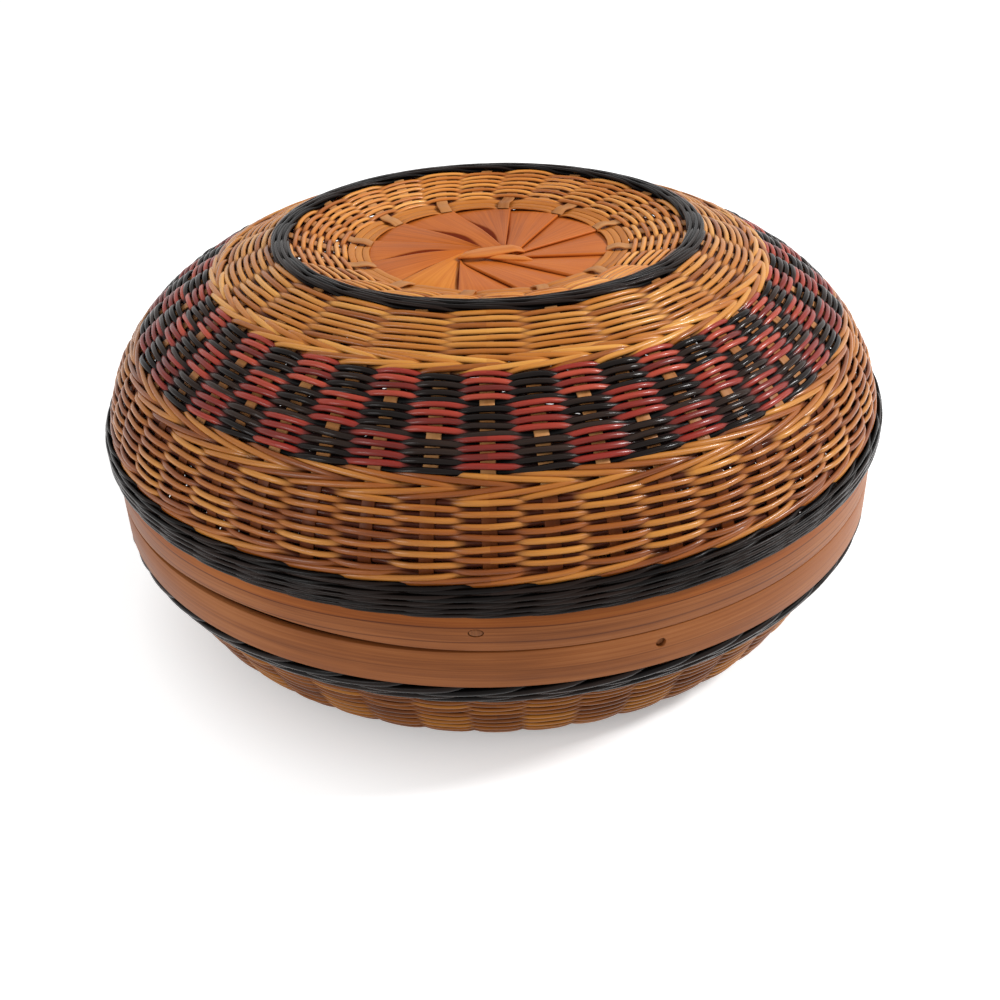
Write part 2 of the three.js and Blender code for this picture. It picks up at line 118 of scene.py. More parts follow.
# Base line
BASE_DISC = 11.5
FOOT = (131, 8.1)
FOOT_HANDLE = (33.8, 2.1)
BELLY_TOP = (178.6, 58)
BELLY_TOP_HANDLE = (42.8, -122.4)

# Seam and hoops
WALL_RADIUS = 178.6
SEAM = 76
HOOP_HEIGHT = 17
HOOP_OUTER = 182.4
HOOP_GAP = 0.75
HOOP_BEVEL = 0.6
INNER_HOOP = 3
COLLAR_RISE = 5
SLIDE_FIT = 0.6
SEAM_GAP = 0.3
LID_INNER_HOOP_HEIGHT = 13.4
TIP_CLEARANCE = 1
BOW_AZIMUTH = math.radians(-122)
BOW_HEIGHT = 2.9
BOW_REACH = math.radians(21)

# Pegs: the azimuth of the first of three, the height, and the half width and half height of the
# end that shows. sunk is how deep that end lies in its hole.
PEGS = 3
LID_PEGS = dict(azimuth=-93, height=85.2, half=(2.7, 1.5), sunk=0.1)
BASE_PEGS = dict(azimuth=-70.5, height=69.5, half=(1.9, 1.9), sunk=1.6)
PEG_GAP = 0.3
HOLE_REACH = 8

# How a peg's outer end is rounded: how far beyond the end, and the share of its size there
PEG_ROUNDING = ((-0.25, 1), (0, 0.88), (0.05, 0.5))

# Cane strips that lie round both discs
STRIP_START = 0.4
STRIP_WIDTH = 3.2
STRIP_THICKNESS = 0.7
STRIP_BEVEL = 0.4 * STRIP_THICKNESS
STRIP_GAP = 0.35
STRIP_RISE = 1.5
STRIP_STEP = 0.1
STRIP_DIP = 0.6 * STAKE_PITCH

# Woven courses: marks counted from the crest, numbers of rows, and row pitches
RECESS_START = 11.4
CREST_CORD_HALF = 3.2
CREST_SHIFTS = (-1.9, 0, 1.9)
UPPER_ROWS = 14
UPPER_END = 27.4
CHECKER_START = 34.8
CHECKER_TIERS = 3
ROWS_PER_TIER = 8
CHECKER_END = 76.1
LOWER_START = 85.2
LOWER_ROWS = 13
LAST_TWIST = 111.2
EDGE_ABOVE = 0.8
EDGE_ROWS = 5
EDGE_OUTER_LIFT = 3.4
EDGE_MIDDLE_LIFT = 4.3
FLOOR_START = 8
FLOOR_PITCH = 2.1
ROW_PITCH = 1.95
FOOT_CORD_HALF = 4.3
FOOT_SHIFTS = (-2.9, -1, 1, 2.9)
BASE_EDGE_WIDTH = 12
BASE_EDGE_ROWS = 2

# Strand radii, and how flat a strand is pressed
THIN = 0.95
FINE = 1.22
MEDIUM = 1.32
THICK = 1.35
FLATNESS = 0.8

# Plain rows. depth is how far a strand swings out and in, lift how far outside the stake line its
# middle is, and every how many stake places a float spans.
RECESS_ROW = dict(radius=FINE, depth=1.1, lift=0.7, sharpness=1.6, every=2)
UPPER_ROW = dict(radius=MEDIUM, depth=1.05, lift=STAKE_LIFT, sharpness=1.3, every=2)
CHECKER_ROW = dict(radius=MEDIUM, depth=1.6, lift=1.4, sharpness=1.1)
LOWER_ROW = dict(radius=FINE, depth=1.5, lift=1.5, sharpness=1.5)
FLOOR_ROW = dict(radius=THICK, depth=1.1, lift=0.3, sharpness=1.6, every=2)
BELLY_ROW = dict(radius=FINE, depth=0.9, lift=1.2, sharpness=1.6)

# Twined rows. width is how far a strand slides along the stakes, and proud how far it bulges.
CREST_TWINE = dict(width=1.9, radius=THIN, slant=1, lift=2.1, proud=0.1, every=2)
UPPER_TWINE = dict(width=3.4, radius=THICK)
LOWER_TWINE = dict(width=4.2, radius=1.2)
LAST_TWINE = dict(width=3.6, radius=MEDIUM, slant=-1)
EDGE_TWINE = dict(width=1.9, radius=THIN, slant=-1, proud=0.5)
FOOT_TWINE = dict(width=1.9, radius=THIN, slant=1, proud=0)
BASE_EDGE_TWINE = dict(width=5, radius=1.5, slant=1, lift=1.4)
STRANDS_PER_TWINE = 3
TWINE_SHARPNESS = 2.2
FOOT_CORD = dict(radius=FOOT[0], height=3.7, cord_radius=3.7, strand_radius=1.9, strands=3, twists=44)

# A splint's materials by number, after its blade's, and the width of the grain: on a blade as a
# share of its width at the rim, and round stakes and strips in metres
STAKE_MATERIAL = 1
TONGUE_MATERIAL = 2
BLADE_GRAIN = 0.6
STAKE_GRAIN = 0.012
STRIP_GRAIN = 0.01

# How uneven the work is: the wander of a line, and the spread of a size as a share of it
ROW_WANDER = 0.16
FLOAT_SHIFT = 0.16
FLOAT_RISE = 0.14
FLOAT_SLOPE = 0.26
ROW_SPREAD = 0.04
TWINE_WANDER = 0.12
TWINE_SPREAD = 0.03
STRIP_WANDER = 0.1
STAKE_SPREAD = 0.03
TWIST_WANDER = 0.5

# How open to light a strand lies, which sets its painted shade: half way between two stakes and on its
# sides, and how much that swings
OPEN_HALF_WAY = 0.72
OPEN_SWING = 0.6
OPEN_SIDE = 0.5
OPEN_TURN = 0.7

# Fineness of the meshes
POINTS_PER_STAKE = 8
CORD_POINTS = 12
STRAND_SIDES = 8
HOOP_STEPS = 288
PEG_SIDES = 24
CURVE_POINTS = 60
LINE_STEP = 0.5
LINE_SMOOTHING = 9
STAKE_FINE_LENGTH = 12
STAKE_STEP = 2
BLADE_ROWS = 20
BLADE_COLUMNS = 31
TONGUE_ROWS = 24
TONGUE_COLUMNS = 9
SHARP_FROM = math.radians(40)


def unit(vector):
    return vector / np.linalg.norm(vector, axis=-1, keepdims=True)


def heading(angle):
    return np.stack([np.cos(angle), np.sin(angle)], axis=-1)


def bell(distance, reach):
    return np.exp(-(distance / reach) ** 2)


def bezier(start, start_handle, end_handle, end):
    """Points of a cubic curve whose handles are given as (length, direction in degrees)."""
    def reach(point, handle):
        length, turn = handle
        return np.array(point) + length * heading(np.radians(turn))

    corners = [np.array(start), reach(start, start_handle), reach(end, end_handle), np.array(end)]
    t = np.linspace(0, 1, CURVE_POINTS)[:, None]
    weights = [(1 - t) ** 3, 3 * t * (1 - t) ** 2, 3 * t ** 2 * (1 - t), t ** 3]
    return sum(weight * corner for weight, corner in zip(weights, corners))


def around(radius, azimuth, height):
    places = (radius * np.cos(azimuth), radius * np.sin(azimuth), height)
    return np.stack(np.broadcast_arrays(*places), axis=-1)


class StakeLine:
    """The line that a half's stakes follow: flat at the disc, then curved to the wall, and straight
    to the stakes' tips. side is +1 where the line's left is the outside."""

    def __init__(self, disc, corner, corner_handle, end_handle, end, tip, side):
        curve = bezier(corner, corner_handle, end_handle, end)
        points = np.array([(LINE_START, disc), (STAKE_START, disc), *curve, (WALL_RADIUS, tip)])
        steps = np.linalg.norm(np.diff(points, axis=0), axis=1)
        corners = np.concatenate([[0], np.cumsum(steps)])
        self.marks = np.arange(0, corners[-1], LINE_STEP)
        even = np.stack([np.interp(self.marks, corners, column) for column in points.T], axis=1)
        smoothing = np.ones(LINE_SMOOTHING) / LINE_SMOOTHING
        beyond = LINE_SMOOTHING // 2
        padded = np.pad(even, ((beyond, beyond), (0, 0)), mode="reflect", reflect_type="odd")
        self.points = np.stack([np.convolve(column, smoothing, "valid") for column in padded.T], axis=1)
        along = unit(np.gradient(self.points, axis=0))
        self.normals = side * np.stack([-along[:, 1], along[:, 0]], axis=1)

    def place(self, mark, offset):
        """Radius and height of the places at the given marks, that far outside the line."""
        columns = (*self.points.T, *self.normals.T)
        values = [np.interp(mark, self.marks, column) for column in columns]
        return values[0] + offset * values[2], values[1] + offset * values[3]

    def ring(self, mark, offset, azimuth):
        """The same places round the basket, and the directions that point outward there."""
        (radius, height), (outer, outer_height) = self.place(mark, offset), self.place(mark, offset + 1)
        centres = around(radius, azimuth, height)
        return centres, unit(around(outer, azimuth, outer_height) - centres)

    def mark_of(self, point):
        """The mark of the place on the line that is nearest to a (radius, height)."""
        return self.marks[np.argmin(np.linalg.norm(self.points - np.array(point), axis=1))]


def new_object(name, data):
    made = bpy.data.objects.new(name, data)
    bpy.context.scene.collection.objects.link(made)
    return made


def make_object(name, vertices, faces, corner_uvs, material_numbers, worn):
    """An object from arrays: vertices in millimetres, quads, and one UV pair for each corner, and for
    each vertex how open to light it lies, from 0 in a gap to 1 on a free surface; the materials paint
    shade where it is low."""
    mesh = bpy.data.meshes.new(name)
    mesh.vertices.add(len(vertices))
    mesh.vertices.foreach_set("co", (np.asarray(vertices, np.float32) * MM).ravel())
    mesh.loops.add(faces.size)
    mesh.loops.foreach_set("vertex_index", faces.astype(np.int32).ravel())
    mesh.polygons.add(len(faces))
    mesh.polygons.foreach_set("loop_start", np.arange(0, faces.size, 4, dtype=np.int32))
    mesh.polygons.foreach_set("material_index", np.asarray(material_numbers, np.int32))
    layer = mesh.uv_layers.new(name="UVMap")
    layer.data.foreach_set("uv", np.asarray(corner_uvs, np.float32).ravel())
    mesh.polygons.foreach_set("use_smooth", np.full(len(faces), True))
    mesh.update(calc_edges=True)
    mesh.validate()
    mesh.attributes.new("worn", "FLOAT", "POINT").data.foreach_set("value", worn.astype(np.float32))
    return new_object(name, mesh)


def ring_quads(rings, sides, closed):
    """Quads between rings of as many points each, and the numbers of the ring and point at each."""
    rows = rings if closed else rings - 1
    i, j = np.meshgrid(np.arange(rows), np.arange(sides), indexing="ij")
    next_i, next_j = (i + 1) % rings, (j + 1) % sides
    corners = [i * sides + j, i * sides + next_j, next_i * sides + next_j, next_i * sides + j]
    return np.stack(corners, axis=-1), i, j


def ring_uvs(u_here, u_next, v_here, v_next):
    """The UV pairs that belong to the corners of ring_quads."""
    corners = ((u_here, v_here), (u_here, v_next), (u_next, v_next), (u_next, v_here))
    return np.stack([np.stack(corner, axis=-1) for corner in corners], axis=2)


def sweep(centres, across, lifts, section, closed):
    """A skin round a line of centres. section is a list of (along across, along lifts) points.
    Returns vertices, quads and corner UVs in metres along the line and share round the section."""
    section = np.asarray(section, float)
    sides = len(section)
    vertices = (centres[:, None] + section[None, :, :1] * across[:, None]
                + section[None, :, 1:] * lifts[:, None])
    faces, i, j = ring_quads(len(centres), sides, closed)
    lengths = np.concatenate([[0], np.cumsum(np.linalg.norm(np.diff(centres, axis=0), axis=1))]) * MM
    if closed:
        lengths = np.append(lengths, lengths[-1] + lengths[1])
    uvs = ring_uvs(lengths[i], lengths[i + 1], j / sides, (j + 1) / sides)
    return vertices.reshape(-1, 3), faces.reshape(-1, 4), uvs.reshape(-1, 4, 2)


def closed_sweep(centres, out, section):
    """A skin round a closed line, whose section stands upright along the directions out."""
    along = unit(np.roll(centres, -1, axis=0) - np.roll(centres, 1, axis=0))
    across = unit(np.cross(along, out))
    return sweep(centres, across, np.cross(across, along), section, closed=True)


class Skins:
    """Collects swept skins and makes one object of them. Each skin gets a row of its own in UV."""

    def __init__(self):
        self.vertices, self.faces, self.uvs, self.numbers, self.worn = [], [], [], [], []
        self.total = 0

    def add(self, vertices, faces, uvs, number=0, worn=1):
        self.vertices.append(vertices)
        self.faces.append(faces + self.total)
        self.uvs.append(uvs + np.array([random.uniform(0, 3), len(self.uvs)]))
        self.numbers.append(np.full(len(faces), number))
        self.worn.append(np.broadcast_to(worn, len(vertices)))
        self.total += len(vertices)

    def finish(self, name, *materials):
        parts = (self.vertices, self.faces, self.uvs, self.numbers, self.worn)
        made = make_object(name, *(np.concatenate(part) for part in parts))
        for material in materials:
            made.data.materials.append(material)
        return made


def dress(made, node):
    """Puts an object in the place of a node, on the body that the node's name begins with."""
    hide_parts(node)
    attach(made, node.split("_")[0])


def circle(radius, flatness=1.0):
    turns = TURN * (np.arange(STRAND_SIDES) + 0.5) / STRAND_SIDES
    return heading(turns) * (radius, radius * flatness)


def wobble(turn, size):
    """A gentle irregularity that closes on itself, of about the given size."""
    return size * sum(random.normal() / wave * np.sin(wave * turn + random.uniform(0, TURN))
                      for wave in (2, 3, 5, 7))


def add_strand(skins, line, mark, offset, azimuth, radius, front, number=0):
    """A closed strand: marks and offsets from the stake line at each azimuth. front is 1 where it
    lies outside a stake and -1 where it lies inside one."""
    centres, out = line.ring(mark, offset, azimuth)
    section = circle(radius, FLATNESS)
    outward = section[:, 1] / (radius * FLATNESS)
    # Painted shade: the strand is darker where it passes inside a stake and on its inner side
    worn = [np.clip(OPEN_HALF_WAY + face * OPEN_SWING * front[:, None], 0, 1)
            * np.clip(OPEN_SIDE + face * OPEN_TURN * outward, 0, 1) for face in (1, -1)]
    skins.add(*closed_sweep(centres, out, section), number, np.maximum(*worn).ravel())


def strand_turns(points_per_stake=POINTS_PER_STAKE):
    """Azimuths all the way round, and the same in stakes counted from the front one."""
    stakes = np.arange(STAKES * points_per_stake) / points_per_stake
    return FRONT_STAKE + stakes * STAKE_PITCH, stakes


def weave_offset(front, depth, lift, sharpness):
    """From front, +1 where the strand passes outside a stake and -1 inside, to its distance."""
    return lift + depth * np.tanh(sharpness * front) / math.tanh(sharpness)


def lean_at(mark, bend):
    """How far round, in stake pitches, the stakes stand from their places, up to the bend."""
    return np.clip((bend - mark) / (bend - (STAKE_START - LINE_START)), 0, 1)


def plain_row(skins, line, mark, phase, radius, depth, lift, sharpness, every=1, number=0, lean=0):
    """One strand over one stake and under the next. phase 0 passes outside the front stake. every
    is 2 where only every second place has a stake."""
    azimuth, stakes = strand_turns()
    turn = np.pi * (stakes / every - phase)
    front = np.cos(turn)
    floats = np.arange(0, STAKES + every, every)
    own = random.normal(0, 1, len(floats))
    own[-1] = own[0]
    other = np.append(np.roll(own[:-1], 3), own[-4])
    per_float, per_other = (np.interp(stakes, floats, values) for values in (own, other))
    offset = weave_offset(front, depth, lift, sharpness) + FLOAT_RISE * per_float * np.clip(front, 0, 1)
    marks = (mark + wobble(azimuth, ROW_WANDER) + FLOAT_SHIFT * per_float
             + FLOAT_SLOPE * per_other * np.sin(turn))
    size = radius * random.normal(1, ROW_SPREAD)
    azimuth = azimuth + lean * STAKE_PITCH
    add_strand(skins, line, marks, offset, azimuth, size, np.tanh(2 * front), number)


def twined_row(skins, line, mark, width, radius, slant, lift=STAKE_LIFT, proud=0.3, every=1):
    """Strands twined round the stakes, each outside two and inside the third."""
    azimuth, stakes = strand_turns()
    for strand in range(STRANDS_PER_TWINE):
        turn = ((stakes / every - strand) / STRANDS_PER_TWINE) % 1
        half_gap = 0.5 / STRANDS_PER_TWINE
        front = -np.cos(TURN * turn) + math.cos(TURN * half_gap)
        depth = STAKE_HALF + radius * FLATNESS
        offset = weave_offset(front, depth, lift, TWINE_SHARPNESS) + proud * np.sin(np.pi * turn) ** 2
        slide = np.interp(turn, [0, half_gap, 1 - half_gap, 1], [0, -1, 1, 0])
        marks = mark + slant * slide * width / 2 + wobble(azimuth, TWINE_WANDER)
        size = radius * random.normal(1, TWINE_SPREAD)
        add_strand(skins, line, marks, offset, azimuth, size, np.tanh(2 * front))


def rows_between(start, end, count):
    """The marks of evenly spaced rows."""
    return start + (np.arange(count) + 0.5) * ((end - start) / count)


def plain_weave(name, node, material, line, start, end, pitch, course, bend=None):
    """Rows of plain weave from one mark to the other. With a bend they follow the leaning stakes."""
    skins = Skins()
    for row, mark in enumerate(rows_between(start, end, round((end - start) / pitch))):
        lean = 0 if bend is None else lean_at(mark, bend)
        plain_row(skins, line, mark, row, **course, lean=lean)
    dress(skins.finish(name, material), node)


def add_cord(skins, radius, height, cord_radius, strand_radius, strands, twists):
    """Strands twisted round each other into a cord that runs round the basket."""
    azimuth, _ = strand_turns(CORD_POINTS)
    centre = around(radius, azimuth, height)
    outward = around(1.0, azimuth, 0.0)
    upward = np.array([0, 0, 1])
    for strand in range(strands):
        turn = twists * azimuth + TURN * strand / strands + wobble(azimuth, TWIST_WANDER)
        aside = np.cos(turn)[:, None] * outward + np.sin(turn)[:, None] * upward
        centres = centre + (cord_radius - strand_radius) * aside
        skins.add(*closed_sweep(centres, outward, circle(strand_radius)))


def add_rod(skins, rings):
    """A rod through rings of as many points each, its ends closed by small quads."""
    middle = rings.mean(axis=1, keepdims=True)
    inner = middle + 0.02 * (rings - middle)
    rings = np.concatenate([inner[:1], rings, inner[-1:]])
    count, sides = rings.shape[:2]
    faces, _, _ = ring_quads(count, sides, closed=False)
    faces = np.roll(faces.reshape(-1, 4), -1, axis=1)
    first = np.arange(sides // 2 - 1)
    caps = np.stack([first, first + 1, sides - 2 - first, sides - 1 - first], axis=-1)
    faces = np.concatenate([faces, caps[:, ::-1], caps + (count - 1) * sides])
    points = rings.reshape(-1, 3)
    x, y, z = np.moveaxis(points[faces], -1, 0)
    skins.add(points, faces, np.stack([z * MM, (x + y) * MM], axis=-1))


def rounded_box(width, height, bevel):
    """Corner points of a flat strip's section, its corners rounded."""
    turns = np.radians([0, 45, 90, 90, 135, 180, 180, 225, 270, 270, 315, 360])
    sides = np.repeat([(1, 1), (-1, 1), (-1, -1), (1, -1)], 3, axis=0)
    return sides * (np.array([width, height]) / 2 - bevel) + bevel * heading(turns)


def band(name, node, inner, outer, low, high, material, low_rise=None):
    """A hoop with rounded edges. low_rise gives how far its lower edge bows up at each azimuth."""
    azimuth = TURN * np.arange(HOOP_STEPS) / HOOP_STEPS
    profile = rounded_box(outer - inner, high - low, HOOP_BEVEL)
    middle_r, middle_z = (inner + outer) / 2, (low + high) / 2
    radii = middle_r + profile[:, 0]
    heights = np.repeat((middle_z + profile[:, 1])[None], HOOP_STEPS, axis=0)
    if low_rise is not None:
        share = np.clip((high - heights) / (high - low), 0, 1)
        heights = heights + share * low_rise(azimuth)[:, None]
    vertices = around(radii[None, :], azimuth[:, None], heights).reshape(-1, 3)
    faces, i, j = ring_quads(HOOP_STEPS, len(profile), closed=True)
    edges = np.diff(np.vstack([profile, profile[:1]]), axis=0)
    walk = np.concatenate([[0], np.cumsum(np.linalg.norm(edges, axis=1))]) * MM
    turn = TURN * middle_r * MM / HOOP_STEPS
    uvs = ring_uvs(i * turn, (i + 1) * turn, walk[j], walk[j + 1])
    faces, uvs = (np.roll(part[:, :, ::-1], 1, axis=2) for part in (faces, uvs))
    faces, uvs = faces.reshape(-1, 4), uvs.reshape(-1, 4, 2)
    made = make_object(name, vertices, faces, uvs, np.zeros(len(faces)), np.ones(len(vertices)))
    made.data.materials.append(material)
    dress(made, node)
    return made


def peg_rings(pegs, number, radii, widths, heights):
    """Oval rings round the axis of one peg: their radii, half widths and half heights."""
    azimuth = math.radians(pegs["azimuth"] + number * 360 / PEGS)
    turns = TURN * np.arange(PEG_SIDES) / PEG_SIDES
    radii, widths, heights = (np.array(values)[:, None] for values in (radii, widths, heights))
    side = widths * np.cos(turns)
    rings = around(radii, azimuth, 0 * radii) + side[:, :, None] * around(1.0, azimuth + np.pi / 2, 0.0)
    rings[:, :, 2] = pegs["height"] + heights * np.sin(turns)
    return rings


def drill(hoop, pegs):
    """Cuts oval holes through a hoop, a little wider than the pegs."""
    radii = (WALL_RADIUS - HOLE_REACH, WALL_RADIUS + HOLE_REACH)
    widths, heights = ([half + PEG_GAP] * 2 for half in pegs["half"])
    for number in range(PEGS):
        skins = Skins()
        add_rod(skins, peg_rings(pegs, number, radii, widths, heights))
        cutter = skins.finish("cutter")
        modifier = hoop.modifiers.new("hole", "BOOLEAN")
        modifier.operation = "DIFFERENCE"
        modifier.solver = "EXACT"
        modifier.object = cutter
        graph = bpy.context.evaluated_depsgraph_get()
        drilled = bpy.data.meshes.new_from_object(
            hoop.evaluated_get(graph), preserve_all_data_layers=True, depsgraph=graph)
        hoop.modifiers.clear()
        hoop.data = drilled
        bpy.data.objects.remove(cutter)
    hoop.data.set_sharp_from_angle(angle=SHARP_FROM)
    hoop.data.attributes["worn"].data.foreach_set("value", np.ones(len(hoop.data.vertices), np.float32))


def add_pegs(prefix, pegs, inner_end):
    """Pegs from the given radius to the outer hoop's outside, their outer ends rounded."""
    end = HOOP_OUTER - pegs["sunk"]
    radii = (inner_end, *(end + beyond for beyond, _ in PEG_ROUNDING))
    shares = np.array([1, *(share for _, share in PEG_ROUNDING)])
    widths, heights = (shares * half for half in pegs["half"])
    for number in range(PEGS):
        skins = Skins()
        add_rod(skins, peg_rings(pegs, number, radii, widths, heights))
        made = skins.finish(f"{prefix}_peg_end_{number + 1}", PEG)
        dress(made, f"{prefix}_peg_{number + 1}")


# Materials

def srgb(*values):
    """The linear colour of the one written as 0 to 255 in sRGB, and full opacity."""
    shares = np.array(values) / 255
    return (*np.where(shares <= 0.04045, shares / 12.92, ((shares + 0.055) / 1.055) ** 2.4), 1)


class Nodes:
    """A short way to lay out the nodes of a material or a world. Colours are written in sRGB."""

    def __init__(self, owner, shader="Principled BSDF"):
        owner.use_nodes = True
        self.owner = owner
        self.tree = owner.node_tree
        self.shader = self.tree.nodes[shader]

    def put(self, socket, value):
        """Gives a socket a value, or the output of another node."""
        if isinstance(value, bpy.types.NodeSocket):
            self.tree.links.new(value, socket)
        elif socket.type == "RGBA":
            socket.default_value = srgb(*value)
        else:
            socket.default_value = value

    def node(self, kind, inputs=None, **settings):
        made = self.tree.nodes.new(kind)
        for key, value in settings.items():
            setattr(made, key, value)
        for key, value in (inputs or {}).items():
            self.put(made.inputs[key], value)
        return made

    def math(self, operation, *values):
        return self.node("ShaderNodeMath", dict(enumerate(values)), operation=operation).outputs[0]

    def weighted(self, *parts):
        """The sum of (value, weight) pairs."""
        total = 0
        for value, weight in parts:
            total = self.math("ADD", total, self.math("MULTIPLY", value, weight))
        return total

    def noise(self, place, scale, detail=3, roughness=0.5):
        """Noise of the given scale, or stretched where the scale is one number for each axis."""
        if isinstance(scale, tuple):
            place = self.node("ShaderNodeMapping", {"Vector": place, "Scale": scale}).outputs["Vector"]
            scale = 1
        inputs = {"Vector": place, "Scale": scale, "Detail": detail, "Roughness": roughness}
        return self.node("ShaderNodeTexNoise", inputs).outputs["Fac"]

    def ramp(self, factor, stops):
        made = self.node("ShaderNodeValToRGB", {"Fac": factor})
        elements = made.color_ramp.elements
        while len(elements) < len(stops):
            elements.new(0.5)
        for element, (position, colour) in zip(elements, stops):
            element.position = position
            element.color = srgb(*colour)
        return made.outputs["Color"]

    def mix(self, factor, a, b, blend="MIX"):
        inputs = {0: factor, 6: a, 7: b}
        return self.node("ShaderNodeMix", inputs, data_type="RGBA", blend_type=blend).outputs[2]

    def scaled(self, factor, low, high, from_low=0.0, from_high=1.0):
        inputs = {"Value": factor, "From Min": from_low, "From Max": from_high,
                  "To Min": low, "To Max": high}
        return self.node("ShaderNodeMapRange", inputs).outputs["Result"]

    def bump(self, height, strength, distance):
        inputs = {"Height": height, "Strength": strength, "Distance": distance}
        self.put(self.shader.inputs["Normal"], self.node("ShaderNodeBump", inputs).outputs["Normal"])

    def finish(self, values):
        for key, value in values.items():
            self.put(self.shader.inputs[key], value)
        return self.owner

    def uv(self):
        return self.node("ShaderNodeUVMap").outputs["UV"]

    def place(self):
        return self.node("ShaderNodeTexCoord").outputs["Object"]

    def part(self, vector, axis):
        return self.node("ShaderNodeSeparateXYZ", {0: vector}).outputs[axis]

    def worn(self):
        return self.node("ShaderNodeAttribute", attribute_name="worn").outputs["Fac"]

    def seen_directly(self):
        """1 for what the camera sees, also in gloss and through glass, and 0 for all other light."""
        rays = self.node("ShaderNodeLightPath").outputs
        seen = self.math("MAXIMUM", rays["Is Camera Ray"], rays["Is Glossy Ray"])
        return self.math("MAXIMUM", seen, rays["Is Transmission Ray"])

    def show(self, output, share, first, second):
        """Shows the first shader, and the second one by the given share."""
        mixer = self.node("ShaderNodeMixShader", {0: share, 1: first.outputs[0], 2: second.outputs[0]})
        self.put(self.tree.nodes[output].inputs["Surface"], mixer.outputs[0])


def rattan(name, shaded_colour, dark, middle, light, rough=(0.2, 0.4), coat=0.14, specular=0.22):
    """Varnished cane: every strand has its own tone, with fibres along it and darker patches. Where a
    strand is tucked behind a stake or turns inward it gets painted shade in the first colour given."""
    nodes = Nodes(bpy.data.materials.new(name))
    uv = nodes.uv()
    strand = nodes.math("FLOOR", nodes.part(uv, "Y"))
    own = nodes.node("ShaderNodeTexWhiteNoise", {"W": strand}, noise_dimensions="1D").outputs["Value"]
    fibres = nodes.noise(uv, (60, 9, 1), detail=4, roughness=0.65)
    stretches = nodes.noise(uv, (14, 0.6, 1), detail=2)
    patches = nodes.noise(nodes.place(), 14, detail=2)
    tone = nodes.weighted((own, 0.36), (stretches, 0.45), (patches, 0.3),
                          (nodes.math("SUBTRACT", fibres, 0.5), 0.35))
    colour = nodes.ramp(tone, [(0.26, dark), (0.52, middle), (0.8, light)])
    worn = nodes.scaled(nodes.worn(), 0, 1, 0.3, 0.9)
    nodes.bump(fibres, strength=0.25, distance=0.0004)
    dull = nodes.scaled(worn, 0.5, 0)
    return nodes.finish({
        "Base Color": nodes.mix(worn, shaded_colour, colour),
        "Roughness": nodes.math("ADD", nodes.scaled(fibres, *rough), dull),
        "Coat Weight": coat,
        "Coat Roughness": 0.12,
        "Specular IOR Level": specular})


# Painted shade that darkens the stakes low down: its colour, the height it starts below, and its fade
LOW_SHADE = (146, 108, 76)
LOW_SHADE_BELOW = 0.134
LOW_SHADE_FADE = 0.004
HOOP_AMBER = (255, 236, 190)
HOOP_AMBER_FROM = 0.0873
HOOP_AMBER_BLUR = 0.0006
HOOP_LINES = ((0.0873, 0.8), (0.0806, 0.6), (0.0838, 0.25), (0.0668, 0.3))
HOOP_LINE_COLOUR = (120, 90, 75)
HOOP_LINE_CORE = 0.0001
HOOP_LINE_EDGE = 0.0004
HOOP_LINE_WANDER = 0.0008
# The colour of the painted shadow beside a blade's curled edge
PAINTED_SHADOW = (112, 36, 2)


def shaded_low(nodes, place, colour):
    """Painted shade: the stakes are darker low down on the lid, and on the whole base, where the weave
    over them shades them.
    """
    share = nodes.scaled(nodes.part(place, "Z"), 1, 0, LOW_SHADE_BELOW, LOW_SHADE_BELOW + LOW_SHADE_FADE)
    return nodes.mix(share, colour, LOW_SHADE, "MULTIPLY")


def grooved(nodes, place, colour):
    """The lid's hoop is amber above its upper groove line, and both have thin dark lines."""
    wander = nodes.scaled(nodes.noise(place, 9, detail=2), -HOOP_LINE_WANDER, HOOP_LINE_WANDER, 0.3, 0.7)
    height = nodes.math("ADD", nodes.part(place, "Z"), wander)
    above = nodes.math("SUBTRACT", height, HOOP_AMBER_FROM)
    share = nodes.scaled(above, 0, 1, -HOOP_AMBER_BLUR, HOOP_AMBER_BLUR)
    colour = nodes.mix(share, colour, HOOP_AMBER, "MULTIPLY")
    for line, strength in HOOP_LINES:
        off = nodes.math("ABSOLUTE", nodes.math("SUBTRACT", height, line))
        share = nodes.scaled(off, strength, 0, HOOP_LINE_CORE, HOOP_LINE_EDGE)
        colour = nodes.mix(share, colour, HOOP_LINE_COLOUR, "MULTIPLY")
    return colour


def bamboo_strip(name, dark, middle, light, layer=None):
    """Split bamboo with straight fibres along the strip, and a painted shadow colour where its vertices
    are marked as shaded.
    """
    nodes = Nodes(bpy.data.materials.new(name))
    uv = nodes.uv()
    fibres = nodes.noise(uv, (14, 900, 1), detail=5, roughness=0.6)
    broad = nodes.noise(uv, (8, 120, 1))
    place = nodes.place()
    patches = nodes.noise(place, 11)
    tone = nodes.weighted((fibres, 0.4), (broad, 0.35), (patches, 0.35))
    colour = nodes.ramp(tone, [(0.36, dark), (0.55, middle), (0.75, light)])
    if layer is not None:
        colour = layer(nodes, place, colour)
    worn = nodes.worn()
    nodes.bump(fibres, strength=0.3, distance=0.0003)
    dull = nodes.scaled(worn, 0.5, 0)
    return nodes.finish({
        "Base Color": nodes.mix(worn, PAINTED_SHADOW, colour),
        "Roughness": nodes.math("ADD", nodes.scaled(broad, 0.35, 0.55), dull),
        "Coat Weight": 0.02,
        "Coat Roughness": 0.25,
        "Specular IOR Level": 0.12})


